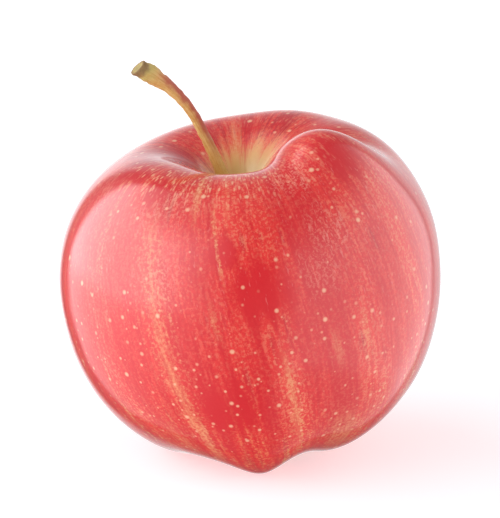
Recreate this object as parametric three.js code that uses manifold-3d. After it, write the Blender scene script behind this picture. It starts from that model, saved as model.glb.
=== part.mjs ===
// A ripe apple with its long stem and, under it, the dried remains of its flower.
// It stands on the lobes round its blossom end. Z is up and the lengths are millimetres.
// The origin is on the ground, under the middle of the apple.
import * as THREE from "three";
import { mergeVertices } from "three/addons/utils/BufferGeometryUtils.js";
import Module from "manifold-3d";

// ---- Driving dimensions, in millimetres and degrees ----

// The fruit before it swells into lobes: a round body, narrower at the blossom end.
const CHEEK_RADIUS = 37.5; // round the widest ring
const UPPER_HEIGHT = 32.2; // from the widest ring to the crown, before the stem hollow is pressed in
const LOWER_HEIGHT = 37; // from the widest ring to the foot
const EQUATOR_BLEND = 0.35; // how gently one height turns into the other
const TAPER = 0.01; // how much wider the crown is than the foot, as a share of the radius
const FULLNESS = 0.111; // how much fuller the shoulders are than a ball's
const LEAN = -0.075; // sideways shift for each millimetre of height
const RISE = 0.089; // how much taller the +x cheek stands than the middle, as a share
const REST_TRIM = 0.35; // how much of the lobes is flattened where the apple stands

// Each end is pressed in twice: a wide bowl round the axis, and a narrow funnel in its floor.
const STEM_HOLLOWS = [
  { x: 0, depth: 13.81, radius: 15.78, sharpness: 1.7 },
  { x: -2.1, depth: 5.5, radius: 5, sharpness: 2 },
];
const CALYX_HOLLOWS = [
  { x: 0, depth: 8.2, radius: 10.9, sharpness: 1.86 },
  { x: 0, depth: 3, radius: 6, sharpness: 2 },
];

// The five carpels inside swell the skin into lobes, round the crown and round the foot.
const LOBE_START = 10; // the lobes begin this far above and below the widest ring
const CROWN = { radius: 19.24, width: 16.8 };
const CROWN_LOBES = [
  { azimuth: -86.4, height: -0.95, narrowness: 3.86 },
  { azimuth: -67.42, height: -1.9, narrowness: 17.13 }, // the corner in the near rim
  { azimuth: -36.26, height: 6.09, narrowness: 3.34 },
  { azimuth: -6.02, height: -4.09, narrowness: 15.4 }, // the groove on the tallest shoulder
  { azimuth: 61.72, height: 1.47, narrowness: 9.78 },
  { azimuth: 112.8, height: 2.19, narrowness: 3.11 },
  { azimuth: 208.59, height: 2.67, narrowness: 3.16 },
];
const FOOT = { radius: 14.28, width: 23.99 };
const FOOT_LOBES = [
  { azimuth: -87.4, height: 3.6, narrowness: 17.53 },
  { azimuth: -144.16, height: -0.66, narrowness: 8.81 }, // a dip on each side of that lobe
  { azimuth: -72.3, height: -2.88, narrowness: 14.39 },
  { azimuth: -14.16, height: -2.16, narrowness: 14.79 }, // the foot stays clear of the ground here
  { azimuth: 39.08, height: 2.16, narrowness: 6.54 },
  { azimuth: 122.42, height: 2.16, narrowness: 8.12 },
  { azimuth: 194.2, height: 2.5, narrowness: 10.52 },
];

const FRUIT_SIDES = 64;
const FRUIT_ROWS = 52;
const POLE_CROWDING = 0.1; // how much closer together the rows lie in the two hollows

// The stem's middle line, from the floor of its hollow out past the rim and over to the left.
const STEM_PATH = [
  [-5.8, 0, 49.4],
  [-6.8, 0, 53.0],
  [-8.1, 0, 56.0],
  [-10.1, 0, 60.7],
  [-12.4, -0.3, 65.6],
  [-14.5, -1.0, 69.4],
  [-17.8, -1.9, 73.4],
  [-21.7, -2.9, 76.5],
  [-24.7, -3.5, 78.5],
];
// Its radius along the way: a rounded foot, a slender middle and a knob where it left the twig.
const STEM_GIRTHS = [
  { along: 0, radius: 0.6 },
  { along: 0.04, radius: 1.4 },
  { along: 0.12, radius: 1.3 },
  { along: 0.3, radius: 1.08 },
  { along: 0.5, radius: 1.0 },
  { along: 0.7, radius: 1.08 },
  { along: 0.84, radius: 1.22 },
  { along: 0.93, radius: 1.75 },
  { along: 0.98, radius: 1.95 },
  { along: 1, radius: 1.8 },
];
const STEM_SIDES = 12;
const STEM_ROWS = 30;
const SCAR_TILT = 28; // the twig's scar is cut this far off square
const SCAR_SETBACK = 0.9; // and this far back from the end of the knob

const GAP = 0.3; // between two pieces that touch

// The dried flower in the calyx hollow: sepals outside, then stamens, then styles.
const SEPAL_COUNT = 5;
const SEPAL_WIDTH = 2.5;
const SEPAL_THICKNESS = 0.5;
const SEPAL_TIP_SHARE = 0.22; // the tip's width as a share of the widest place
const SEPAL_PATH = [
  { radius: 3.1, drop: 0 },
  { radius: 2.7, drop: 1.6 },
  { radius: 2.8, drop: 3.2 },
  { radius: 3.6, drop: 4.6 },
  { radius: 4.9, drop: 5.3 },
];
const SEPAL_STEPS = 8;
const STAMEN_COUNT = 10;
const STAMEN = { radius: 0.18, ring: 1.25, splay: 0.35, length: 4.2 };
const STYLE_COUNT = 5;
const STYLE = { radius: 0.14, ring: 0.52, splay: 0.2, length: 3.4 };
const THREAD_SIDES = 6;

const COLOURS = { skin: 0xd6414a, stem: 0xc99a63, sepal: 0x7a6146, stamen: 0x4f3a2a, style: 0x5d4632 };

// ---- Helpers ----

const radians = THREE.MathUtils.degToRad;
const sum = (values) => values.reduce((total, value) => total + value, 0);
const wasm = await Module();
wasm.setup();

// Joins the vertices that share a place and drops the triangles that this leaves without area.
function weld(geometry) {
  geometry.deleteAttribute("normal");
  geometry.deleteAttribute("uv");
  const welded = mergeVertices(geometry, 1e-3);
  const corners = welded.index.array;
  const kept = [];
  for (let first = 0; first < corners.length; first += 3) {
    const [a, b, c] = corners.slice(first, first + 3);
    if (a !== b && b !== c && c !== a) kept.push(a, b, c);
  }
  welded.setIndex(kept);
  welded.computeVertexNormals();
  return welded;
}

function toSolid(geometry) {
  const welded = weld(geometry);
  return new wasm.Manifold(new wasm.Mesh({
    numProp: 3,
    vertProperties: welded.attributes.position.array,
    triVerts: Uint32Array.from(welded.index.array),
  }));
}

function toGeometry(solid) {
  const cut = solid.getMesh();
  const geometry = new THREE.BufferGeometry();
  geometry.setAttribute("position", new THREE.BufferAttribute(cut.vertProperties, 3));
  geometry.setIndex(new THREE.BufferAttribute(cut.triVerts, 1));
  geometry.computeVertexNormals();
  return geometry;
}

// Moves every vertex of a geometry to the place that a function gives for it.
function reshape(geometry, place) {
  const positions = geometry.attributes.position;
  const vertex = new THREE.Vector3();
  for (let index = 0; index < positions.count; index += 1) {
    place(vertex.fromBufferAttribute(positions, index));
    positions.setXYZ(index, vertex.x, vertex.y, vertex.z);
  }
  return geometry;
}

// A value read off a list of stations by straight lines between them.
function readStations(stations, along, key) {
  const next = Math.max(1, stations.findIndex((station) => station.along >= along));
  const before = stations[next - 1];
  const after = stations[next];
  const share = (along - before.along) / (after.along - before.along);
  return THREE.MathUtils.lerp(before[key], after[key], share);
}

// A round bar of changing girth along a curve, closed at both ends.
function bentBar(curve, girthAt, rows, sides) {
  const profile = [new THREE.Vector2(0, 0)];
  for (let row = 0; row <= rows; row += 1) profile.push(new THREE.Vector2(1, row / rows));
  profile.push(new THREE.Vector2(0, 1));
  const frames = curve.computeFrenetFrames(rows, false);
  return reshape(new THREE.LatheGeometry(profile, sides), (vertex) => {
    const along = vertex.y;
    const row = Math.round(along * rows);
    const girth = girthAt(along);
    const across = frames.normals[row].clone().multiplyScalar(-vertex.x * girth);
    const aside = frames.binormals[row].clone().multiplyScalar(vertex.z * girth);
    vertex.copy(curve.getPointAt(along)).add(across).add(aside);
  });
}

// ---- The fruit ----

// How far the hollows are pressed in at a place: nothing at the widest ring.
function hollowDepth(hollows, x, y) {
  return sum(hollows.map((hollow) => {
    const bowl = (distance) => Math.exp(-((distance / hollow.radius) ** hollow.sharpness));
    return hollow.depth * (bowl(Math.hypot(x - hollow.x, y)) - bowl(CHEEK_RADIUS));
  }));
}

// How far the lobes stand out at an azimuth, on a ring of a given radius and width.
function lobeHeight(lobes, ring, radius, azimuth, height) {
  const start = 1 - Math.exp(-((height / LOBE_START) ** 2));
  const spread = start * Math.exp(-(((radius - ring.radius) / ring.width) ** 2));
  return spread * sum(lobes.map((lobe) => {
    const turn = Math.cos(azimuth - radians(lobe.azimuth)) - 1;
    return lobe.height * Math.exp(lobe.narrowness * turn);
  }));
}

function makeFruit() {
  const profile = [];
  for (let row = 0; row <= FRUIT_ROWS; row += 1) {
    const share = row / FRUIT_ROWS;
    const polar = Math.PI * (1 - share + POLE_CROWDING * Math.sin(2 * Math.PI * share));
    const rise = Math.cos(polar);
    const upperShare = 0.5 + 0.5 * Math.tanh(rise / EQUATOR_BLEND);
    const height = THREE.MathUtils.lerp(LOWER_HEIGHT, UPPER_HEIGHT, upperShare);
    const radius = CHEEK_RADIUS * Math.sin(polar) * (1 + TAPER * rise + FULLNESS * rise ** 2);
    const onAxis = row === 0 || row === FRUIT_ROWS;
    profile.push(new THREE.Vector2(onAxis ? 0 : radius, rise * height));
  }
  const body = new THREE.LatheGeometry(profile, FRUIT_SIDES);
  body.rotateX(Math.PI / 2);
  reshape(body, (vertex) => {
    const radius = Math.hypot(vertex.x, vertex.y);
    const azimuth = Math.atan2(vertex.y, vertex.x);
    if (vertex.z > 0) {
      const swelling = lobeHeight(CROWN_LOBES, CROWN, radius, azimuth, vertex.z);
      vertex.z += swelling - hollowDepth(STEM_HOLLOWS, vertex.x, vertex.y);
    } else {
      const swelling = lobeHeight(FOOT_LOBES, FOOT, radius, azimuth, vertex.z);
      vertex.z += hollowDepth(CALYX_HOLLOWS, vertex.x, vertex.y) - swelling;
    }
  });
  body.computeBoundingBox();
  const ground = body.boundingBox.min.z + REST_TRIM;
  reshape(body, (vertex) => {
    vertex.z = (vertex.z - ground) * (1 + (RISE * vertex.x) / CHEEK_RADIUS);
    vertex.x += LEAN * vertex.z;
  });
  const below = new THREE.BoxGeometry(4 * CHEEK_RADIUS, 4 * CHEEK_RADIUS, CHEEK_RADIUS);
  below.translate(0, 0, -CHEEK_RADIUS / 2);
  return toGeometry(toSolid(body).subtract(toSolid(below)));
}

// ---- The stem ----

function makeStem() {
  const curve = new THREE.CatmullRomCurve3(STEM_PATH.map((point) => new THREE.Vector3(...point)));
  const girthAt = (along) => readStations(STEM_GIRTHS, along, "radius");
  const bar = bentBar(curve, girthAt, STEM_ROWS, STEM_SIDES);
  // A block stands off the end of the knob, tilted, and takes the scar's slice away.
  const blockSize = 12;
  const block = new THREE.BoxGeometry(blockSize, blockSize, blockSize);
  block.translate(0, 0, blockSize / 2 - SCAR_SETBACK);
  const outward = curve.getTangentAt(1).applyAxisAngle(new THREE.Vector3(0, 1, 0), radians(SCAR_TILT));
  block.applyQuaternion(new THREE.Quaternion().setFromUnitVectors(new THREE.Vector3(0, 0, 1), outward));
  block.translate(...curve.getPointAt(1).toArray());
  return toGeometry(toSolid(bar).subtract(toSolid(block)));
}

// ---- The dried flower ----

// A leaf along a path in the plane of the axis, pointed at its tip, before it is turned into place.
function makeSepal(root) {
  const points = SEPAL_PATH.map(({ radius, drop }) => new THREE.Vector3(radius, 0, root - drop));
  const curve = new THREE.CatmullRomCurve3(points);
  const leaf = new THREE.BoxGeometry(SEPAL_THICKNESS, SEPAL_WIDTH, 1, 1, 4, SEPAL_STEPS);
  reshape(leaf, (vertex) => {
    const along = vertex.z + 0.5;
    const breadth = Math.max(SEPAL_TIP_SHARE, Math.sin(Math.PI * (0.25 + 0.75 * along)));
    const tangent = curve.getTangentAt(along);
    const inward = new THREE.Vector3(tangent.z, 0, -tangent.x);
    const aside = new THREE.Vector3(0, vertex.y * breadth, 0);
    const through = inward.multiplyScalar(vertex.x);
    vertex.copy(curve.getPointAt(along)).add(aside).add(through);
  });
  return weld(leaf);
}

// A dried thread that hangs from the hollow's floor and splays a little outwards.
function makeThread({ radius, ring, splay, length }, root) {
  const curve = new THREE.CatmullRomCurve3([
    new THREE.Vector3(ring, 0, root),
    new THREE.Vector3(ring + 0.4 * splay, 0, root - 0.5 * length),
    new THREE.Vector3(ring + splay, 0, root - length),
  ]);
  return weld(bentBar(curve, () => radius, 4, THREAD_SIDES));
}

// ---- The apple ----

const materials = Object.fromEntries(Object.entries(COLOURS).map(([name, color]) => {
  const roughness = name === "skin" ? 0.3 : 0.75;
  return [name, new THREE.MeshStandardMaterial({ name, color, roughness, metalness: 0 })];
}));

const apple = new THREE.Group();

function addPiece(name, geometry, material) {
  const mesh = new THREE.Mesh(geometry, material.clone());
  mesh.name = name;
  apple.add(mesh);
  return mesh;
}

// Finds the height of a surface straight above or below a point.
function surfaceHeight(mesh, x, y, direction) {
  const start = new THREE.Vector3(x, y, direction < 0 ? 4 * CHEEK_RADIUS : -CHEEK_RADIUS);
  const ray = new THREE.Raycaster(start, new THREE.Vector3(0, 0, direction));
  return ray.intersectObject(mesh)[0].point.z;
}

const fruit = addPiece("fruit", makeFruit(), materials.skin);
addPiece("stem", makeStem(), materials.stem);

// The flower hangs from the floor of the calyx hollow, which leans with the fruit.
const calyxX = LEAN * surfaceHeight(fruit, 0, 0, 1);

function addRing(prefix, count, digits, geometryFor, ring, material) {
  const floor = Math.min(...[-ring, ring].map((reach) => surfaceHeight(fruit, calyxX + reach, 0, 1)));
  const geometry = geometryFor(floor - GAP);
  for (let index = 0; index < count; index += 1) {
    const mesh = addPiece(`${prefix}_${String(index + 1).padStart(digits, "0")}`, geometry, material);
    mesh.position.x = calyxX;
    mesh.rotation.z = (2 * Math.PI * index) / count;
  }
}
addRing("sepal", SEPAL_COUNT, 1, makeSepal, SEPAL_PATH[0].radius + SEPAL_THICKNESS, materials.sepal);
addRing("stamen", STAMEN_COUNT, 2, (root) => makeThread(STAMEN, root), STAMEN.ring, materials.stamen);
addRing("style", STYLE_COUNT, 1, (root) => makeThread(STYLE, root), STYLE.ring, materials.style);

// The whole apple's middle is moved over the origin.
const box = new THREE.Box3().setFromObject(apple, true);
const middle = box.getCenter(new THREE.Vector3());
apple.position.set(-middle.x, -middle.y, 0);
apple.updateMatrixWorld(true);

export default apple;
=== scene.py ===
# %% [markdown]
# # A ripe apple
# This file is a lesson in cells. It dresses a measured model of an apple, the frame, for a studio
# picture: a fruit with a streaked, waxy skin, a long bent stem, and underneath the dried remains
# of the flower. Every length is in metres, and the apple stands on the plane z = 0.

# %%
import math

import bpy
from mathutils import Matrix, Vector


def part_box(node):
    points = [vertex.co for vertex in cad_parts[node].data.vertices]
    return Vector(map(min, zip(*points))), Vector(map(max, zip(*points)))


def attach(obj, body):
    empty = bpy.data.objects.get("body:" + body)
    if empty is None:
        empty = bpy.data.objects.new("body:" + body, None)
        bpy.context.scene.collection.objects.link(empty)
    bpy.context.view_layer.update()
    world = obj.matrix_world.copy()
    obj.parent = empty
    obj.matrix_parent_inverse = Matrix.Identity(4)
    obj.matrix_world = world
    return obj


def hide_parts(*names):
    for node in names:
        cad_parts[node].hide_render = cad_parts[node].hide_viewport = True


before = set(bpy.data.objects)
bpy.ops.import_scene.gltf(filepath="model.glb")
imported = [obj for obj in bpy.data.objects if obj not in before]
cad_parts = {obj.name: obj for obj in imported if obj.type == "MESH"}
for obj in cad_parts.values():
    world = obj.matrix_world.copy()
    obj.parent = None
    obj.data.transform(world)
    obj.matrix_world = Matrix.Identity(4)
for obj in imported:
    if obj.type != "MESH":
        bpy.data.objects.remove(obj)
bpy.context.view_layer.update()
MM = 0.001

# %% [markdown]
# ## A short way to write nodes
# Both the shapes and the finishes are node trees, and a formula of thirty Math nodes is hard to
# read as thirty calls. So a socket is wrapped in a small class whose operators add the Math nodes:
# `1 - mask` is then a node too. `Graph.add` makes every other node. Its settings come first,
# because some of them change which sockets the node has.

# %%
class Socket:
    """An output of a node. Sums on it add Math nodes to its tree."""

    def __init__(self, graph, socket):
        self.graph = graph
        self.socket = socket

    def __add__(self, other):
        return self.graph.math("ADD", self, other)

    def __sub__(self, other):
        return self.graph.math("SUBTRACT", self, other)

    def __rsub__(self, other):
        return self.graph.math("SUBTRACT", other, self)

    def __mul__(self, other):
        return self.graph.math("MULTIPLY", self, other)

    def __truediv__(self, other):
        return self.graph.math("DIVIDE", self, other)

    def __rtruediv__(self, other):
        return self.graph.math("DIVIDE", other, self)

    def __pow__(self, other):
        return self.graph.math("POWER", self, other)

    __radd__ = __add__
    __rmul__ = __mul__

    def between(self, low, high):
        """0 at low, 1 at high, and a smooth step from one to the other."""
        settings = {"interpolation_type": "SMOOTHSTEP"}
        return self.graph.add("ShaderNodeMapRange", settings, {0: self, 1: low, 2: high})


class Graph:
    """A node tree that is being built."""

    def __init__(self, tree):
        self.tree = tree

    def add(self, kind, settings=None, inputs=None, output=0):
        node = self.tree.nodes.new(kind)
        for key, value in (settings or {}).items():
            if key == "stops":
                self.set_stops(node.color_ramp, value)
            else:
                setattr(node, key, value)
        for key, value in (inputs or {}).items():
            self.plug(node.inputs[key], value)
        return Socket(self, node.outputs[output]) if len(node.outputs) else None

    def plug(self, target, value):
        if isinstance(value, Socket):
            self.tree.links.new(value.socket, target)
        else:
            target.default_value = value

    def set_stops(self, ramp, stops):
        while len(ramp.elements) < len(stops):
            ramp.elements.new(1.0)
        for element, (position, value) in zip(ramp.elements, stops):
            element.position = position
            element.color = value if len(value) == 4 else (*value, 1.0)

    def math(self, operation, *values):
        return self.add("ShaderNodeMath", {"operation": operation}, dict(enumerate(values)))

    def vector(self, x=0.0, y=0.0, z=0.0):
        return self.add("ShaderNodeCombineXYZ", None, {0: x, 1: y, 2: z})

    def vector_math(self, operation, *values, output=0):
        return self.add("ShaderNodeVectorMath", {"operation": operation}, dict(enumerate(values)), output)

    def scaled(self, vector, factor):
        return self.add("ShaderNodeVectorMath", {"operation": "SCALE"}, {0: vector, "Scale": factor})

    def parts(self, vector):
        return [self.add("ShaderNodeSeparateXYZ", None, {0: vector}, axis) for axis in range(3)]

    def noise(self, vector, scale, detail=2.0, roughness=0.5):
        inputs = {"Vector": vector, "Scale": scale, "Detail": detail, "Roughness": roughness}
        return self.add("ShaderNodeTexNoise", None, inputs)


print("node helpers ready")

# %% [markdown]
# ## Growing a mesh from a Geometry Nodes tree
# A piece whose shape follows a rule is grown by a tree: its sizes are the tree's named inputs. The
# finished shape is then taken out as a plain mesh and the modifier removed, so that what is left
# is an ordinary object. The inputs are set by each socket's identifier before the first evaluation.

# %%
def new_tree(name, sizes):
    """A geometry tree with named inputs. Gives its graph, its inputs and a function that ends it."""
    tree = bpy.data.node_groups.new(name, "GeometryNodeTree")
    tree.interface.new_socket("Geometry", in_out="INPUT", socket_type="NodeSocketGeometry")
    tree.interface.new_socket("Geometry", in_out="OUTPUT", socket_type="NodeSocketGeometry")
    for label, value in sizes.items():
        kind = "NodeSocketInt" if isinstance(value, int) else "NodeSocketFloat"
        tree.interface.new_socket(label, in_out="INPUT", socket_type=kind)
    graph = Graph(tree)
    entry = tree.nodes.new("NodeGroupInput")
    inputs = {item.name: Socket(graph, item) for item in entry.outputs if item.name}

    def end(geometry, material):
        smooth = graph.add("GeometryNodeSetShadeSmooth", None, {"Geometry": geometry})
        real = graph.add("GeometryNodeRealizeInstances", None, {"Geometry": smooth})
        dressed = graph.add("GeometryNodeSetMaterial", None, {"Geometry": real, "Material": material})
        leave = tree.nodes.new("NodeGroupOutput")
        graph.plug(leave.inputs[0], dressed)

    return graph, inputs, end


def grow(name, graph, sizes, host=None):
    """Evaluates a tree on a host mesh and gives an object with the plain mesh that it made."""
    piece = bpy.data.objects.new(name, host or bpy.data.meshes.new(name + "_host"))
    bpy.context.scene.collection.objects.link(piece)
    modifier = piece.modifiers.new("grow", "NODES")
    modifier.node_group = graph.tree
    for item in graph.tree.interface.items_tree:
        if item.in_out == "INPUT" and item.name in sizes:
            modifier[item.identifier] = sizes[item.name]
    depsgraph = bpy.context.evaluated_depsgraph_get()
    grown = bpy.data.meshes.new_from_object(
        piece.evaluated_get(depsgraph), preserve_all_data_layers=True, depsgraph=depsgraph
    )
    piece.modifiers.remove(modifier)
    piece.data = grown
    print(name, "faces:", len(grown.polygons), "points:", len(grown.vertices))
    return piece


def store(graph, geometry, name, value, kind="FLOAT"):
    """Keeps a value on the points of a geometry under a name that a material can read."""
    settings = {"data_type": kind, "domain": "POINT"}
    return graph.add(
        "GeometryNodeStoreNamedAttribute", settings, {"Geometry": geometry, "Name": name, "Value": value}
    )


def mesh_box(piece):
    """The lowest and the highest corner of a piece whose object sits at the origin."""
    corners = [vertex.co for vertex in piece.data.vertices]
    low = Vector([min(corner[axis] for corner in corners) for axis in range(3)])
    high = Vector([max(corner[axis] for corner in corners) for axis in range(3)])
    return low, high


# %% [markdown]
# ## The fruit's shape
# An apple is a ball of revolution that its five carpels have pushed out of round. The rule takes
# a round body, narrower at the blossom end, presses a wide bowl and a narrow funnel into each
# end, and lets lobes swell round the crown and round the foot. Last it leans a little and stands
# taller on one side. One grid of points, wrapped round and merged along its seam, follows that
# rule, which gives an even skin where a sculpted ball would need retopology. One weakness is left:
# the lobes still depend on the bearing at the axis itself, so the points of each pole lie on the
# axis at different heights, and the mesh stays open there by a hair.

# %%
fruit_low, fruit_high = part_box("fruit")
CHEEK = (fruit_high.y - fruit_low.y) / 2

body_sizes = {
    "Points around": 320,
    "Rows": 208,
    "Cheek radius": CHEEK,
    "Upper height": 32.2 * MM,
    "Lower height": 37.0 * MM,
    "Equator blend": 0.35,
    "Taper": 0.01,
    "Fullness": 0.111,
    "Lobe start": 10.0 * MM,
    "Lean": -0.075,
    "Rise": 0.089,
    "Flattened": 0.35 * MM,
    "Unevenness": 0.5 * MM,
    "Stripe slant": 0.3,
}
hollows = {
    "Stem bowl": {"x": 0.0, "depth": 13.81 * MM, "radius": 15.78 * MM, "sharpness": 1.7},
    "Stem funnel": {"x": -2.1 * MM, "depth": 5.5 * MM, "radius": 5.0 * MM, "sharpness": 2.0},
    "Calyx bowl": {"x": 0.0, "depth": 8.2 * MM, "radius": 10.9 * MM, "sharpness": 1.86},
    "Calyx funnel": {"x": 0.0, "depth": 3.0 * MM, "radius": 6.0 * MM, "sharpness": 2.0},
}
lobes = {
    "Crown": [(-86.4, -0.95, 3.86), (-67.42, -1.9, 17.13), (-36.26, 6.09, 3.34), (-6.02, -4.09, 15.4),
              (61.72, 1.47, 9.78), (112.8, 2.19, 3.11), (208.59, 2.67, 3.16)],
    "Foot": [(-87.4, 3.6, 17.53), (-144.16, -0.66, 8.81), (-72.3, -2.88, 14.39), (-14.16, -2.16, 14.79),
             (39.08, 2.16, 6.54), (122.42, 2.16, 8.12), (194.2, 2.5, 10.52)],
}
rings = {
    "Crown": {"radius": 19.24 * MM, "width": 16.8 * MM},
    "Foot": {"radius": 14.28 * MM, "width": 23.99 * MM},
}

fruit_sizes = dict(body_sizes)
for group in (hollows, rings):
    for label, shape in group.items():
        fruit_sizes.update({f"{label} {key}": value for key, value in shape.items()})
for label, bumps in lobes.items():
    for number, (azimuth, height, narrowness) in enumerate(bumps, 1):
        fruit_sizes[f"{label} lobe {number} azimuth"] = math.radians(azimuth)
        fruit_sizes[f"{label} lobe {number} height"] = height * MM
        fruit_sizes[f"{label} lobe {number} narrowness"] = narrowness
print("the fruit's rule has", len(fruit_sizes), "named sizes")

# %%
def pressed(graph, sizes, label, x, y):
    """How far a hollow is pressed in at a place: nothing at the widest ring."""
    size = {key: sizes[f"{label} {key}"] for key in ("x", "depth", "radius", "sharpness")}
    distance = graph.math("SQRT", (x - size["x"]) ** 2.0 + y ** 2.0)
    here = graph.math("EXPONENT", 0.0 - (distance / size["radius"]) ** size["sharpness"])
    rim = graph.math("EXPONENT", 0.0 - (sizes["Cheek radius"] / size["radius"]) ** size["sharpness"])
    return size["depth"] * (here - rim)


def swollen(graph, sizes, label, azimuth, radius, height):
    """How far the lobes of one ring stand out."""
    total = 0.0
    for number in range(1, len(lobes[label]) + 1):
        size = {key: sizes[f"{label} lobe {number} {key}"] for key in ("azimuth", "height", "narrowness")}
        turn = graph.math("COSINE", azimuth - size["azimuth"]) - 1.0
        total = size["height"] * graph.math("EXPONENT", size["narrowness"] * turn) + total
    off_ring = (radius - sizes[f"{label} radius"]) / sizes[f"{label} width"]
    start = height / sizes["Lobe start"]
    start = 1.0 - graph.math("EXPONENT", 0.0 - start * start)
    return total * start * graph.math("EXPONENT", 0.0 - off_ring * off_ring)


def fruit_tree(material):
    graph, sizes, end = new_tree("apple_fruit", fruit_sizes)
    grid_inputs = {"Size X": 1.0, "Size Y": 1.0}
    grid_inputs.update({"Vertices X": sizes["Points around"] + 1.0, "Vertices Y": sizes["Rows"] + 1.0})
    grid = graph.add("GeometryNodeMeshGrid", None, grid_inputs)
    across, along, _ = graph.parts(graph.add("GeometryNodeInputPosition"))
    azimuth = (across + 0.5) * math.tau
    share = along + 0.5
    polar = math.pi * (share - 0.1 * graph.math("SINE", share * math.tau))
    up = graph.math("COSINE", polar)
    tall = 0.5 + 0.5 * graph.math("TANH", up / sizes["Equator blend"])
    height = up * (sizes["Lower height"] + (sizes["Upper height"] - sizes["Lower height"]) * tall)
    fuller = 1.0 + sizes["Taper"] * up + sizes["Fullness"] * up * up
    radius = sizes["Cheek radius"] * graph.math("SINE", polar) * fuller
    round_x = graph.math("COSINE", azimuth)
    round_y = graph.math("SINE", azimuth)
    x = radius * round_x
    y = radius * round_y
    crown = swollen(graph, sizes, "Crown", azimuth, radius, height)
    crown = crown - pressed(graph, sizes, "Stem bowl", x, y)
    crown = crown - pressed(graph, sizes, "Stem funnel", x, y)
    foot = pressed(graph, sizes, "Calyx bowl", x, y) + pressed(graph, sizes, "Calyx funnel", x, y)
    foot = foot - swollen(graph, sizes, "Foot", azimuth, radius, height)
    upper = graph.math("GREATER_THAN", up, 0.0)
    z = height + upper * crown + (1.0 - upper) * foot
    lowest = graph.add("GeometryNodeAttributeStatistic", None, {"Geometry": grid, "Attribute": z}, "Min")
    z = z - (lowest + sizes["Flattened"])
    z = z * (1.0 + sizes["Rise"] * x / sizes["Cheek radius"])
    slant = sizes["Stripe slant"] * (z / MM - 35.0) * math.radians(1.0)
    stripe_x = graph.math("COSINE", azimuth + slant)
    stripe_y = graph.math("SINE", azimuth + slant)
    kept = store(graph, grid, "around", graph.vector(stripe_x, stripe_y, share), "FLOAT_VECTOR")
    kept = store(graph, kept, "reach", radius / MM)
    x = x + sizes["Lean"] * z
    # The growth is never quite even: slow waves in the skin, a fraction of a millimetre deep.
    waves = graph.noise(graph.vector(x, y, z), 55.0, 1.5)
    swell = sizes["Unevenness"] * (waves - 0.5) * (radius / sizes["Cheek radius"])
    x = x + round_x * swell
    y = y + round_y * swell
    z = graph.math("MAXIMUM", z, 0.0)
    place = graph.vector(x, y, z)
    placed = graph.add("GeometryNodeSetPosition", None, {"Geometry": kept, "Position": place})
    closed = graph.add("GeometryNodeMergeByDistance", None, {"Geometry": placed, "Distance": 0.001 * MM})
    end(closed, material)
    return graph


# %% [markdown]
# ## The skin
# An apple's colour lies in thin layers under clear wax. The ground is yellow to greenish yellow.
# Over it comes a red blush that runs from stem to blossom in streaks, thick enough on the sunny
# side to hide the ground. Cream lenticels, the pores, dot it all over, and fine pale netting marks
# the shoulders. Each layer is a mask, and the masks follow two attributes that the tree has kept:
# `around`, the direction from the axis and the share of the way from stem to blossom, and `reach`,
# the distance from the axis in millimetres. The wax is the shader's coat.

# %%
def new_material(name):
    material = bpy.data.materials.new(name)
    material.use_nodes = True
    material.node_tree.nodes.clear()
    return material, Graph(material.node_tree)


def finish_material(graph, surface):
    graph.add("ShaderNodeOutputMaterial", None, {"Surface": surface})


def blend(graph, mask, under, over):
    """Lays one colour over another where the mask is 1."""
    settings = {"data_type": "RGBA"}
    inputs = {0: mask, 6: under if isinstance(under, Socket) else (*under, 1.0)}
    inputs[7] = over if isinstance(over, Socket) else (*over, 1.0)
    return graph.add("ShaderNodeMix", settings, inputs, 2)


def attribute(graph, name, output):
    return graph.add("ShaderNodeAttribute", {"attribute_name": name}, None, output)


SKIN = {
    "yellow": (0.82, 0.44, 0.15),
    "green": (0.58, 0.44, 0.13),
    "peach": (0.86, 0.36, 0.19),
    "orange": (0.78, 0.15, 0.06),
    "scarlet": (0.80, 0.034, 0.026),
    "crimson": (0.64, 0.005, 0.012),
    "wine": (0.42, 0.003, 0.020),
    "cream": (0.92, 0.56, 0.34),
    "pink": (0.86, 0.34, 0.30),
}

# Streaks where the blush let the ground through: bearing in degrees, lowest and highest point and
# half width in millimetres, and how much of the ground shows.
STREAKS = [
    (-117.5, 12.0, 54.0, 2.6, 0.52),
    (-117.0, 5.0, 16.0, 1.5, 0.75),
    (-101.0, 55.0, 63.0, 1.0, 0.95),
    (-94.0, 45.0, 57.0, 0.5, 0.85),
    (-89.0, 55.0, 61.0, 0.7, 0.6),
    (-99.5, 35.0, 40.0, 0.9, 0.9),
    (-82.0, 12.0, 31.0, 1.2, 0.6),
    (-62.0, 5.0, 16.0, 5.0, 0.55),
    (-128.0, 4.0, 14.0, 2.2, 0.5),
    (-147.0, 4.0, 18.0, 0.7, 0.95),
    (-54.5, 29.0, 38.0, 1.2, 0.6),
    (-65.0, 28.0, 34.0, 1.2, 0.5),
    (35.0, 14.0, 50.0, 2.0, 0.6),
    (80.0, 20.0, 58.0, 0.8, 0.8),
    (128.0, 6.0, 36.0, 2.2, 0.7),
    (160.0, 25.0, 56.0, 0.7, 0.8),
]

# Patches of pale netting: bearing in degrees, height and radius in millimetres, strength.
NETTING = [
    (-66.0, 62.0, 6.5, 0.75),
    (-62.0, 53.5, 5.5, 0.5),
    (-67.0, 47.0, 5.5, 0.4),
    (-38.0, 63.0, 6.0, 0.35),
    (-120.0, 57.0, 8.0, 0.5),
    (-163.0, 55.0, 8.0, 0.5),
    (-118.0, 44.0, 6.0, 0.4),
    (-85.0, 44.0, 5.0, 0.35),
    (40.0, 58.0, 9.0, 0.6),
    (110.0, 50.0, 9.0, 0.5),
]

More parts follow.
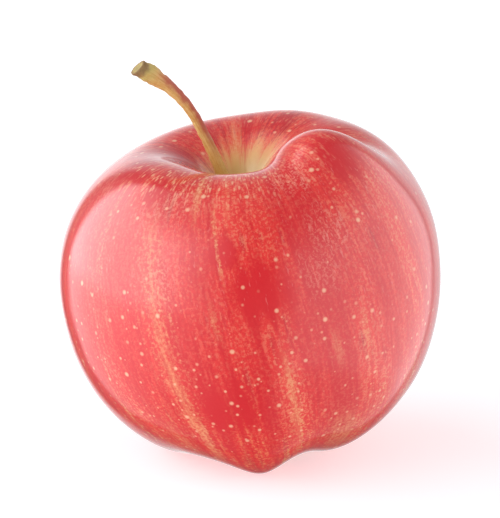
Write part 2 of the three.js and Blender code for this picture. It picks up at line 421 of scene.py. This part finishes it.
# Places where the blush is whole and deep: bearing, height and radius in millimetres.
DEEP = [
    (-86.0, 43.0, 9.0),
    (-97.0, 49.5, 5.0),
    (-45.0, 64.5, 8.0),
    (-150.0, 59.0, 6.0),
    (-128.0, 58.0, 4.0),
    (-97.0, 19.0, 9.0),
]

# Blushes on the wall of the stem hollow: bearing, distance from the axis and radius, strength.
BLUSHES = [
    (172.0, 14.0, 7.0, 1.0),
    (200.0, 16.0, 6.5, 0.9),
    (63.0, 16.0, 4.2, 0.95),
    (92.0, 15.0, 3.5, 0.55),
    (122.0, 16.0, 4.0, 0.6),
]


def on_skin(azimuth, height):
    """The point of the frame's fruit that lies in a direction from its axis, at a height, in mm."""
    angle = math.radians(azimuth)
    inward = Vector((-math.cos(angle), -math.sin(angle), 0.0))
    middle = Vector(((2.6 - 0.075 * height) * MM, 0.0, height * MM))
    hit, point, _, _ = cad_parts["fruit"].ray_cast(middle - inward, inward)
    return point / MM if hit else middle / MM


def skin_material():
    material, graph = new_material("apple_skin")
    place = graph.scaled(graph.add("ShaderNodeTexCoord", None, None, "Object"), 1.0 / MM)
    height = graph.parts(place)[2]
    around = attribute(graph, "around", "Vector")
    stripe_x, stripe_y, share = graph.parts(around)
    reach = attribute(graph, "reach", "Fac")

    def stripes(fineness, length, detail):
        """Noise that is drawn out from stem to blossom."""
        lengthwise = graph.vector(stripe_x * fineness, stripe_y * fineness, share * length)
        return graph.noise(lengthwise, 1.0, detail, 0.55)

    broad = stripes(3.4, 2.2, 2.0)
    fine = stripes(15.0, 6.0, 3.0)
    thread = stripes(55.0, 30.0, 3.0)
    scratch = stripes(80.0, 95.0, 2.0)
    grain = graph.noise(place, 1.5, 3.0, 0.65)
    clouds = graph.noise(place, 0.09, 2.0)
    granules = graph.noise(place, 1.7, 3.0, 0.7)

    # Places where the blush is whole, with hardly a grain of the ground to be seen.
    whole = 0.0
    for azimuth, level, radius in DEEP:
        gap = graph.vector_math("DISTANCE", place, tuple(on_skin(azimuth, level)), output=1)
        patch = 1.0 - (gap + (fine - 0.5) * 10.0 + (grain - 0.5) * 3.0).between(0.4 * radius, radius)
        whole = graph.math("MAXIMUM", patch, whole)

    # The blush: scarlet and crimson in streaks, wine where it is thickest.
    red = (0.40 * broad + 0.30 * fine + 0.18 * thread + 0.24 * grain).between(0.46, 0.68)
    colour = blend(graph, red, SKIN["crimson"], SKIN["scarlet"])
    deep = (0.6 * fine + 0.4 * clouds).between(0.56, 0.70)
    colour = blend(graph, deep * 0.7, colour, SKIN["wine"])
    colour = blend(graph, whole * 0.85, colour, SKIN["crimson"])

    # Thin places, where fine grains of the ground glow through in lengthwise bands.
    speckle = (0.7 * granules + 0.3 * thread).between(0.47, 0.60)
    low = 1.0 - height.between(3.0, 30.0)
    bands = (0.6 * broad + 0.4 * fine).between(0.44, 0.62)
    thin = speckle * graph.math("MINIMUM", 0.14 + 0.36 * bands + 0.75 * low * (0.35 + bands), 1.0)
    ground = blend(graph, low, SKIN["peach"], SKIN["orange"])
    colour = blend(graph, thin * (1.0 - whole) * 0.78, colour, ground)
    gold = low * (0.5 * granules + 0.5 * fine).between(0.52, 0.64) * bands
    colour = blend(graph, gold * 0.7, colour, SKIN["yellow"])

    # The streaks of ground, which break up into grains at their edges.
    ground = blend(graph, grain, SKIN["peach"], SKIN["yellow"])
    broken = 0.38 + 0.62 * (0.6 * granules + 0.4 * thread).between(0.38, 0.64)
    for azimuth, lowest, highest, half_width, strength in STREAKS:
        angle = math.radians(azimuth)
        cosine = stripe_x * math.cos(angle) + stripe_y * math.sin(angle)
        off = graph.math("ARCCOSINE", graph.math("MINIMUM", cosine, 1.0)) * reach
        off = off + (grain - 0.5) * (4.5 * half_width) + (fine - 0.5) * (2.5 * half_width)
        above = height.between(lowest - 3.0, lowest + 5.0)
        below = 1.0 - height.between(highest - 5.0, highest + 3.0)
        streak = (1.0 - off.between(0.0, 1.15 * half_width)) * above * below
        colour = blend(graph, streak * broken * strength, colour, ground)

    # Inside the hollow the blush gives out in streaks, and the ground turns green at the stem.
    upper = height.between(38.0, 44.0)
    tongues = (reach + (stripes(5.0, 2.0, 3.0) - 0.5) * 22.0 + (thread - 0.5) * 14.0).between(6.0, 15.0)
    inward = (1.0 - tongues) * upper
    flesh = blend(graph, (0.5 * fine + 0.5 * grain).between(0.4, 0.62), SKIN["peach"], SKIN["orange"])
    flesh = blend(graph, 1.0 - (reach + (fine - 0.5) * 12.0).between(6.0, 13.0), flesh, SKIN["yellow"])
    colour = blend(graph, inward * 0.92, colour, flesh)
    for azimuth, distance, radius, strength in BLUSHES:
        angle = math.radians(azimuth)
        along = (stripe_x * math.cos(angle) + stripe_y * math.sin(angle)) * reach
        aside = (stripe_y * math.cos(angle) - stripe_x * math.sin(angle)) * reach
        off = graph.math("SQRT", ((along - distance) * 0.6) ** 2.0 + aside * aside)
        patch = 1.0 - (off + (fine - 0.5) * 9.0 + (grain - 0.5) * 5.0).between(0.3 * radius, radius)
        patch = patch * upper * strength * (0.7 + 0.3 * thread.between(0.35, 0.6))
        colour = blend(graph, patch, colour, blend(graph, fine, SKIN["wine"], SKIN["crimson"]))
    near_stem = (1.0 - reach.between(3.0, 10.0)) * upper
    colour = blend(graph, near_stem * 0.8, colour, SKIN["green"])
    basin = (1.0 - (reach + (fine - 0.5) * 8.0).between(4.0, 12.0)) * (1.0 - upper)
    colour = blend(graph, basin * 0.85, colour, SKIN["green"])

    # Short dashes that ray out from the rim of the stem hollow.
    dash_place = graph.vector(stripe_x * 33.0, stripe_y * 33.0, share * 60.0)
    dash_spread = graph.noise(dash_place, 0.8, 2.0)
    dash_cells = {"Vector": dash_place, "Scale": 1.0, "Randomness": 1.0}
    dash = graph.add("ShaderNodeTexVoronoi", {"feature": "F1"}, dash_cells)
    facing = stripe_x * math.cos(math.radians(-108.0)) + stripe_y * math.sin(math.radians(-108.0))
    crown = reach.between(12.0, 17.0) * (1.0 - reach.between(22.0, 31.0)) * height.between(45.0, 54.0)
    crown = crown * (0.35 + 0.65 * facing.between(0.55, 0.9))
    dashes = (1.0 - (dash + (grain - 0.5) * 0.5).between(0.14, 0.44)) * crown
    dashes = dashes * dash_spread.between(0.36, 0.50)
    strokes = stripes(48.0, 34.0, 3.0).between(0.54, 0.66) * crown * fine.between(0.35, 0.6)
    dashes = graph.math("MAXIMUM", dashes, strokes * 0.9)
    colour = blend(graph, dashes * 0.8, colour, blend(graph, grain, SKIN["peach"], SKIN["cream"]))

    # Fine pale netting, scratched into patches of the shoulders.
    patches = 0.0
    for azimuth, level, radius, strength in NETTING:
        gap = graph.vector_math("DISTANCE", place, tuple(on_skin(azimuth, level)), output=1)
        patch = (1.0 - (gap + (fine - 0.5) * 10.0).between(0.35 * radius, radius)) * strength
        patches = graph.math("MAXIMUM", patch, patches)
    warp = graph.add("ShaderNodeTexNoise", None, {"Vector": place, "Scale": 1.4, "Detail": 2.0}, "Color")
    bent = graph.vector_math("ADD", place, graph.scaled(warp, 1.3))
    tangle = {"Vector": bent, "Scale": 1.35, "Randomness": 1.0}
    veins = graph.add("ShaderNodeTexVoronoi", {"feature": "DISTANCE_TO_EDGE"}, tangle)
    lines = (1.0 - (veins + (grain - 0.5) * 0.3).between(0.02, 0.20)) * granules.between(0.46, 0.58)
    marks = graph.math("MAXIMUM", lines, scratch.between(0.56, 0.66))
    marks = graph.math("MAXIMUM", marks, granules.between(0.52, 0.66) * 0.8)
    pale = blend(graph, granules, SKIN["peach"], SKIN["pink"])
    colour = blend(graph, marks * patches * (1.0 - whole) * 0.6, colour, pale)
    scratches = scratch.between(0.62, 0.74) * height.between(20.0, 50.0)
    colour = blend(graph, scratches * 0.28, colour, SKIN["pink"])

    # Lenticels: large ones on the shoulders, many small ones lower down, no two the same size.
    def pores(spacing, size, shift):
        moved = graph.vector_math("ADD", place, (shift, shift, shift))
        cells = {"Vector": moved, "Scale": 1.0 / spacing, "Randomness": 1.0}
        near = graph.add("ShaderNodeTexVoronoi", {"feature": "F1"}, cells)
        chance = graph.parts(graph.add("ShaderNodeTexVoronoi", {"feature": "F1"}, cells, "Color"))[0]
        edge = (size / spacing) * (0.45 + 0.65 * chance)
        return (1.0 - (near / edge).between(0.35, 1.15)) * (0.55 + 0.45 * chance)

    outside = 1.0 - inward
    large = pores(2.9, 0.56, 0.0)
    small = pores(2.0, 0.40, 50.0) * (1.0 - height.between(26.0, 50.0))
    spots = graph.math("MAXIMUM", large, small) * outside
    colour = blend(graph, spots * 0.75, colour, SKIN["cream"])

    grooves = stripes(9.0, 2.5, 2.0) * reach.between(30.0, 20.0) * upper
    dimples = graph.noise(place, 0.55, 3.0, 0.5) + 0.25 * spots + 2.5 * grooves
    bump = graph.add("ShaderNodeBump", None, {"Strength": 0.35, "Distance": 0.05 * MM, "Height": dimples})
    roughness = 0.32 + 0.14 * grain
    wax = {"IOR": 1.45, "Coat Weight": 1.0, "Coat Roughness": 0.07, "Coat IOR": 1.5}
    skin = {"Base Color": colour, "Roughness": roughness, "Normal": bump}
    finish_material(graph, graph.add("ShaderNodeBsdfPrincipled", None, {**skin, **wax}))
    return material


# %%
skin = skin_material()
fruit = grow("apple_fruit", fruit_tree(skin), fruit_sizes)
low, high = mesh_box(fruit)
shift = (fruit_low + fruit_high - low - high) / 2
for vertex in fruit.data.vertices:
    vertex.co.x += shift.x
    vertex.co.y += shift.y
low, high = mesh_box(fruit)
print("fruit box, mm:", [[round(value / MM, 1) for value in corner] for corner in (low, high)])
print("CAD fruit, mm:", [[round(value / MM, 1) for value in corner] for corner in (fruit_low, fruit_high)])

# %% [markdown]
# ## Limbs: one rule for the stem, the sepals and the threads of the flower
# The stem, each dried sepal and each thread inside them are all one thing: a section that follows
# a bent path and grows wider or thinner on the way. One tree makes them all. Its host is a line of
# points with a breadth and a thickness at each. The tree smooths the line, and wraps a grid round
# it. Its far end can be cut off slanting, with a dished face, as a stem is where it left the twig.
# Last it sets a ring of copies round an axis, each a little different, by a fixed seed.

# %%
def path_mesh(name, points, breadths, thicknesses):
    """A line of points, in millimetres, that knows how wide and thick a limb is at each."""
    mesh = bpy.data.meshes.new(name + "_path")
    edges = [(index, index + 1) for index in range(len(points) - 1)]
    mesh.from_pydata([tuple(value * MM for value in point) for point in points], edges, [])
    for label, values in (("breadth", breadths), ("thickness", thicknesses)):
        kept = mesh.attributes.new(label, "FLOAT", "POINT")
        for item, value in zip(kept.data, values):
            item.value = value * MM
    return mesh


LIMB = {
    "Sides": 24,
    "Rows": 80,
    "Tip share": 0.06,
    "Tip dish": 0.0,
    "Tip slant": 0.0,
    "Lumps": 0.0,
    "Lump size": 1.0 * MM,
    "Fray": 0.0,
    "Copies": 1,
    "Centre x": 0.0,
    "Centre y": 0.0,
    "Centre z": 0.0,
    "Turn": 0.0,
    "Turn variation": 0.0,
    "Nod variation": 0.0,
    "Size variation": 0.0,
    "Seed": 1,
}


def limb_tree(name, material):
    graph, sizes, end = new_tree(name, LIMB)
    curve = graph.add("GeometryNodeMeshToCurve", None, {0: sizes["Geometry"]})
    curve = graph.add("GeometryNodeCurveSplineType", {"spline_type": "CATMULL_ROM"}, {0: curve})
    curve = graph.add("GeometryNodeResampleCurve", None, {"Curve": curve, "Count": 96})
    grid_inputs = {"Size X": 1.0, "Size Y": 1.0}
    grid_inputs.update({"Vertices X": sizes["Sides"] + 1.0, "Vertices Y": sizes["Rows"] + 1.0})
    grid = graph.add("GeometryNodeMeshGrid", None, grid_inputs)
    across, along, _ = graph.parts(graph.add("GeometryNodeInputPosition"))
    turn = (across + 0.5) * math.tau
    share = along + 0.5
    body = 1.0 - sizes["Tip share"]
    reach = graph.math("MINIMUM", share / body, 1.0)
    face = graph.math("MAXIMUM", (share - body) / sizes["Tip share"], 0.0)
    root = graph.math("MINIMUM", share * 30.0, 1.0)

    def sample(output, value=None):
        inputs = {"Curves": curve, "Factor": reach}
        if value:
            kind = {"data_type": "FLOAT"}
            inputs["Value"] = graph.add("GeometryNodeInputNamedAttribute", kind, {"Name": value})
        settings = {"mode": "FACTOR", "data_type": "FLOAT", "use_all_curves": True}
        return graph.add("GeometryNodeSampleCurve", settings, inputs, output)

    centre = sample("Position")
    forward = sample("Tangent")
    through = graph.vector_math("NORMALIZE", graph.vector_math("CROSS_PRODUCT", (0.0, 1.0, 0.0), forward))
    aside = graph.vector_math("CROSS_PRODUCT", forward, through)
    round_x = graph.math("COSINE", turn)
    round_y = graph.math("SINE", turn)
    close = root * (1.0 - face)
    off_through = sample("Value", "thickness") * 0.5 * round_x * close
    off_aside = sample("Value", "breadth") * 0.5 * round_y * close
    cut = reach.between(0.93, 1.0) * sizes["Tip slant"]
    forth = off_through * cut - sizes["Tip dish"] * face.between(0.0, 0.7)
    place = graph.vector_math("ADD", centre, graph.scaled(through, off_through))
    place = graph.vector_math("ADD", place, graph.scaled(aside, off_aside))
    place = graph.vector_math("ADD", place, graph.scaled(forward, forth))
    lump_place = graph.scaled(place, 1.0 / sizes["Lump size"])
    lump = (graph.noise(lump_place, 1.0, 2.0) - 0.5) * sizes["Lumps"]
    lump = lump * (0.35 + 0.65 * reach.between(0.75, 0.95)) * (1.0 - face)
    fibre = graph.noise(graph.vector(round_x * 2.0, round_y * 2.0, share * 1.5), 1.0, 2.0) - 0.5
    lump = lump + fibre * sizes["Fray"] * (1.0 - face)
    outward = graph.vector_math("SUBTRACT", place, centre)
    outward = graph.vector_math("NORMALIZE", outward)
    place = graph.vector_math("ADD", place, graph.scaled(outward, lump * close))
    kept = store(graph, grid, "grain", graph.vector(round_x, round_y, share), "FLOAT_VECTOR")
    limb = graph.add("GeometryNodeSetPosition", None, {"Geometry": kept, "Position": place})
    limb = graph.add("GeometryNodeMergeByDistance", None, {"Geometry": limb, "Distance": 0.001 * MM})

    axis = graph.vector(sizes["Centre x"], sizes["Centre y"], sizes["Centre z"])
    points = graph.add("GeometryNodePoints", None, {"Count": sizes["Copies"], "Position": axis})
    index = graph.add("GeometryNodeInputIndex")

    def chance(number, spread):
        inputs = {2: 0.0 - spread, 3: spread, "ID": index, "Seed": sizes["Seed"] + float(number)}
        return graph.add("FunctionNodeRandomValue", {"data_type": "FLOAT"}, inputs, 1)

    bearing = sizes["Turn"] + index * math.tau / sizes["Copies"] + chance(1, sizes["Turn variation"])
    nod = graph.vector(chance(2, sizes["Nod variation"]), chance(3, sizes["Nod variation"]), bearing)
    size = 1.0 + chance(4, sizes["Size variation"])
    scale = graph.vector(size, size, size)
    ring_inputs = {"Points": points, "Instance": limb, "Rotation": nod, "Scale": scale}
    ring = graph.add("GeometryNodeInstanceOnPoints", None, ring_inputs)
    end(ring, material)
    return graph


# %% [markdown]
# ## The stem
# The stem is woody and a little waxy: yellow-green where it was shaded in the hollow, flushed with
# brown-red on the side that met the sun, and it swells to a knob at the scar where it left the
# twig. Its path is a few points with a girth at each, which is how a wire armature would be bent.

# %%
def stem_material():
    material, graph = new_material("apple_stem")
    place = graph.scaled(graph.add("ShaderNodeTexCoord", None, None, "Object"), 1.0 / MM)
    around_x, around_y, share = graph.parts(attribute(graph, "grain", "Vector"))
    fibres = graph.noise(graph.vector(around_x * 7.0, around_y * 7.0, share * 9.0), 1.0, 3.0)
    blotch = graph.noise(place, 0.6, 3.0)
    grain = graph.noise(place, 3.5, 3.0, 0.6)
    streaky = (fibres + 0.3 * grain - 0.15).between(0.35, 0.65)
    colour = blend(graph, streaky, (0.60, 0.34, 0.085), (0.74, 0.52, 0.20))
    # The root end stands in the green-gold of the hollow.
    colour = blend(graph, (1.0 - share.between(0.15, 0.45)) * 0.6, colour, (0.62, 0.42, 0.10))
    sunny = (around_x + (blotch - 0.5) * 1.2).between(-0.25, 0.75)
    flush = share.between(0.28, 0.50) * (1.0 - share.between(0.76, 0.90))
    colour = blend(graph, sunny * flush * 0.9, colour, (0.42, 0.055, 0.035))
    # Painted shade: the lower left side near the root, which faces down into the hollow, is darkened to
    # brown-orange.
    painted_shade = (0.0 - around_x - 0.2 + (fibres - 0.5)).between(0.2, 0.9) * (1.0 - share.between(0.2, 0.5))
    colour = blend(graph, painted_shade * 0.6, colour, (0.42, 0.16, 0.03))
    knob = share.between(0.82, 0.90)
    colour = blend(graph, knob * 0.75, colour, blend(graph, blotch, (0.38, 0.30, 0.07), (0.60, 0.50, 0.16)))
    rim = (share + (blotch - 0.5) * 0.06).between(0.89, 0.925) * (1.0 - share.between(0.945, 0.97))
    colour = blend(graph, rim * (0.5 + 0.5 * grain), colour, (0.17, 0.075, 0.035))
    scar = share.between(0.95, 0.98)
    colour = blend(graph, scar * 0.8, colour, blend(graph, grain, (0.24, 0.17, 0.06), (0.50, 0.41, 0.16)))
    height = 0.6 * fibres + 0.4 * grain
    bump = graph.add("ShaderNodeBump", None, {"Strength": 0.6, "Distance": 0.15 * MM, "Height": height})
    roughness = 0.42 + 0.2 * grain
    finish = {"Base Color": colour, "Roughness": roughness, "Normal": bump, "IOR": 1.45}
    finish_material(graph, graph.add("ShaderNodeBsdfPrincipled", None, finish))
    return material


STEM_PATH = [(-5.2, 0, 47.0), (-5.8, 0, 49.4), (-6.8, 0, 53.0), (-8.1, 0, 56.0), (-10.1, 0, 60.7),
             (-12.4, -0.3, 65.6), (-14.5, -1.0, 69.4), (-17.8, -1.9, 73.4), (-21.7, -2.9, 76.5),
             (-24.3, -3.5, 78.0)]
STEM_GIRTH = [2.6, 2.6, 2.5, 2.35, 2.1, 2.0, 2.1, 2.4, 3.5, 3.2]
axis_x = shift.x / MM
stem_points = [(x + axis_x, y, z) for x, y, z in STEM_PATH]
stem_sizes = {
    **LIMB,
    "Sides": 48,
    "Rows": 160,
    "Tip share": 0.06,
    "Tip dish": 0.1 * MM,
    "Tip slant": -math.tan(math.radians(18.0)),
    "Lumps": 1.1 * MM,
    "Lump size": 1.4 * MM,
    "Fray": 0.12 * MM,
}
stem_host = path_mesh("apple_stem", stem_points, STEM_GIRTH, STEM_GIRTH)
stem = grow("apple_stem", limb_tree("apple_stem", stem_material()), stem_sizes, stem_host)
print("stem box, mm:", [[round(value / MM, 1) for value in corner] for corner in mesh_box(stem)])

# %% [markdown]
# ## What is left of the flower
# In the hollow at the blossom end sit five dried sepals, ten or more withered stamens and the five
# styles of the carpels. They are brown, felted and brittle. Each kind is one limb and a ring of
# copies, turned and sized a little differently, because no two dry the same way.

# %%
def dry_material(name, dark, light, fibre_count):
    """Withered flower parts: brown, matt, with a grain along their length."""
    material, graph = new_material(name)
    place = graph.scaled(graph.add("ShaderNodeTexCoord", None, None, "Object"), 1.0 / MM)
    around_x, around_y, share = graph.parts(attribute(graph, "grain", "Vector"))
    lengthwise = graph.vector(around_x * fibre_count, around_y * fibre_count, share * 3.0)
    fibres = graph.noise(lengthwise, 1.0, 3.0, 0.6)
    mottle = graph.noise(place, 1.4, 3.0, 0.6)
    colour = blend(graph, (0.6 * fibres + 0.4 * mottle).between(0.38, 0.62), dark, light)
    colour = blend(graph, share.between(0.6, 1.0) * 0.6, colour, dark)
    bump = graph.add("ShaderNodeBump", None, {"Strength": 0.8, "Distance": 0.12 * MM, "Height": fibres})
    finish = {"Base Color": colour, "Roughness": 0.75 + 0.2 * mottle, "Normal": bump, "IOR": 1.4}
    finish_material(graph, graph.add("ShaderNodeBsdfPrincipled", None, finish))
    return material


def group_box(prefix, count, digits):
    """The box round every CAD piece of one kind."""
    corners = [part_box(f"{prefix}_{number:0{digits}d}") for number in range(1, count + 1)]
    low = Vector([min(corner[0][axis] for corner in corners) for axis in range(3)])
    high = Vector([max(corner[1][axis] for corner in corners) for axis in range(3)])
    return low, high


def flower_ring(name, nodes, path, breadths, thicknesses, sizes, material):
    """A ring of limbs that hang from the top of the CAD pieces they stand for."""
    low, high = group_box(*nodes)
    host = path_mesh(name, path, breadths, thicknesses)
    centre = {"Centre x": (low.x + high.x) / 2, "Centre y": (low.y + high.y) / 2, "Centre z": high.z}
    all_sizes = {**LIMB, "Copies": nodes[1], **centre, **sizes}
    piece = grow(name, limb_tree(name, material), all_sizes, host)
    print(name, "box, mm:", [[round(value / MM, 1) for value in corner] for corner in mesh_box(piece)])
    print("CAD box, mm:", [[round(value / MM, 1) for value in corner] for corner in (low, high)])
    return piece


sepals = flower_ring(
    "apple_sepals", ("sepal", 5, 1),
    [(3.0, 0, 0.8), (2.9, 0, -0.6), (2.7, 0, -1.8), (2.9, 0, -3.0), (3.7, 0, -3.9), (4.8, 0, -4.2)],
    [2.2, 2.5, 2.4, 1.9, 1.2, 0.35], [0.7, 0.55, 0.45, 0.38, 0.3, 0.2],
    {"Turn variation": 0.12, "Nod variation": 0.10, "Size variation": 0.06, "Fray": 0.5 * MM,
     "Lumps": 0.3 * MM, "Lump size": 0.9 * MM, "Seed": 11},
    dry_material("dried_sepal", (0.07, 0.040, 0.020), (0.26, 0.18, 0.085), 3.0),
)
stamens = flower_ring(
    "apple_stamens", ("stamen", 10, 2),
    [(1.25, 0, 0.8), (1.3, 0, -1.0), (1.4, 0, -2.4), (1.55, 0, -3.7), (1.7, 0, -4.1)],
    [0.34, 0.30, 0.26, 0.30, 0.42], [0.34, 0.30, 0.26, 0.30, 0.42],
    {"Sides": 10, "Rows": 40, "Turn variation": 0.16, "Nod variation": 0.09, "Size variation": 0.08,
     "Fray": 0.06 * MM, "Seed": 23},
    dry_material("dried_thread", (0.05, 0.028, 0.014), (0.20, 0.12, 0.05), 1.5),
)
styles = flower_ring(
    "apple_styles", ("style", 5, 1),
    [(0.52, 0, 0.8), (0.54, 0, -0.9), (0.60, 0, -2.1), (0.72, 0, -3.3)],
    [0.30, 0.26, 0.24, 0.34], [0.30, 0.26, 0.24, 0.34],
    {"Sides": 10, "Rows": 36, "Turn variation": 0.2, "Nod variation": 0.06, "Size variation": 0.05,
     "Fray": 0.05 * MM, "Seed": 37},
    dry_material("dried_style", (0.08, 0.05, 0.02), (0.30, 0.22, 0.09), 1.5),
)

# %% [markdown]
# ## Tying the pieces to the frame
# Nothing on an apple moves, so every piece rides on the one body. Each says which parts of the
# frame it stands for, and the slot of the record that its finish belongs to.

# %%
dressed = [
    (fruit, ["fruit"], "skin"),
    (stem, ["stem"], "stem"),
    (sepals, [f"sepal_{number}" for number in range(1, 6)], "sepal"),
    (stamens, [f"stamen_{number:02d}" for number in range(1, 11)], "stamen"),
    (styles, [f"style_{number}" for number in range(1, 6)], "style"),
]
for piece, nodes, slot in dressed:
    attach(piece, "root")
    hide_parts(*nodes)
    print(piece.name, "stands for", len(nodes), "nodes")

# %% [markdown]
# ## The floor and the studio light
# The apple stands on a plain white table that fades into a white room. Two broad softboxes light
# it, a strong one on the left and a weaker one on the right, with paler walls behind. They are
# drawn in the world, as brightness by compass bearing and height above the table, because a skin
# as glossy as this shows the shape and the soft edges of everything that lights it.

# %%
def make_floor():
    mesh = bpy.data.meshes.new("floor")
    half = 3.0
    corners = [(-half, -half, 0), (half, -half, 0), (half, half, 0), (-half, half, 0)]
    mesh.from_pydata(corners, [], [(0, 1, 2, 3)])
    floor = bpy.data.objects.new("floor", mesh)
    bpy.context.scene.collection.objects.link(floor)
    material, graph = new_material("white_table")
    finish = {"Base Color": (0.74, 0.74, 0.75, 1.0), "Roughness": 0.8, "Specular IOR Level": 0.1}
    finish.update({"Emission Color": (1.0, 0.97, 0.99, 1.0), "Emission Strength": 0.54})
    finish_material(graph, graph.add("ShaderNodeBsdfPrincipled", None, finish))
    mesh.materials.append(material)
    floor.visible_glossy = False
    return floor


def ramp(graph, value, low, high, stops):
    """A ramp of brightness through (value, brightness) stops."""
    spread = high - low
    share = (value - low) / spread
    grey = [((at - low) / spread, (level, level, level)) for at, level in stops]
    return graph.add("ShaderNodeValToRGB", {"stops": grey}, {0: share}, 0)


# How bright each box is, the colour of all of them, and the white that stands behind the apple.
LEFT_STRENGTH = 2.85
RIGHT_STRENGTH = 1.4
BACK_STRENGTH = 1.1
TINT = (1.0, 0.98, 1.0)
BACKDROP = 1.2


def studio_light():
    world = bpy.data.worlds.new("studio")
    bpy.context.scene.world = world
    world.use_nodes = True
    world.node_tree.nodes.clear()
    graph = Graph(world.node_tree)
    x, y, z = graph.parts(graph.add("ShaderNodeTexCoord", None, None, "Generated"))
    degree = 180.0 / math.pi
    bearing = graph.math("ARCTAN2", x, 0.0 - y) * degree
    height = graph.math("ARCSINE", z) * degree

    def box(strength, bearings, heights):
        sideways = ramp(graph, bearing, -180.0, 180.0, bearings)
        upward = ramp(graph, height, -90.0, 90.0, heights)
        return sideways * upward * strength

    left = box(
        LEFT_STRENGTH,
        [(-180, 0.0), (-143, 0.0), (-136, 0.9), (-110, 1.0), (-60, 1.0), (-35, 0.5), (-12, 0.0)],
        [(-90, 0.0), (-62, 0.08), (-40, 0.32), (-12, 0.6), (-5, 1.0),
         (35, 1.0), (45, 0.65), (56, 0.22), (80, 0.05)],
    )
    right = box(
        RIGHT_STRENGTH,
        [(12, 0.0), (30, 0.75), (80, 1.0), (138, 1.0), (143, 0.2), (146, 0.0)],
        [(-80, 0.0), (-60, 0.25), (-40, 0.5), (-34, 0.9), (20, 1.0), (36, 0.6), (50, 0.25), (75, 0.1)],
    )
    back = box(
        BACK_STRENGTH,
        [(-180, 0.9), (-163, 1.0), (-156, 0.0), (144, 0.1), (148, 0.6), (165, 0.65), (180, 0.9)],
        [(-60, 0.0), (-42, 0.05), (-30, 0.6), (-20, 1.0), (0, 1.0),
         (9, 0.75), (22, 0.4), (36, 0.15), (60, 0.1)],
    )
    room = ramp(graph, height, -90.0, 90.0, [(-90, 0.12), (-20, 0.1), (40, 0.2), (90, 0.3)])
    light = left + right + back + room
    seen = graph.add("ShaderNodeLightPath", None, None, "Is Camera Ray")
    tinted = graph.vector(*[light * share for share in TINT])
    lit = graph.add("ShaderNodeBackground", None, {"Color": tinted})
    white = {"Color": (1.0, 1.0, 1.0, 1.0), "Strength": BACKDROP}
    plain = graph.add("ShaderNodeBackground", None, white)
    both = graph.add("ShaderNodeMixShader", None, {0: seen, 1: lit, 2: plain})
    graph.add("ShaderNodeOutputWorld", None, {"Surface": both})


floor = make_floor()
studio_light()
bpy.context.scene.view_settings.view_transform = "Standard"
print("floor and light ready")

# %% [markdown]
# ## The camera
# A long lens stands about three quarters of a metre off and looks down by seventeen degrees, which
# shows the rim of the stem hollow and a little of its far wall, and hardly any perspective.

# %%
DISTANCE = 0.75
ELEVATION = math.radians(17.0)
AIM = Vector((0.0, 0.0, 38.5 * MM))

lens = bpy.data.cameras.new("camera")
lens.lens = 265.9
lens.sensor_width = 36.0
lens.clip_start = 0.01
camera = bpy.data.objects.new("camera", lens)
bpy.context.scene.collection.objects.link(camera)
camera.location = AIM + DISTANCE * Vector((0.0, -math.cos(ELEVATION), math.sin(ELEVATION)))
camera.rotation_euler = (AIM - camera.location).to_track_quat("-Z", "Y").to_euler()
bpy.context.scene.camera = camera
print("camera at", [round(value, 3) for value in camera.location])
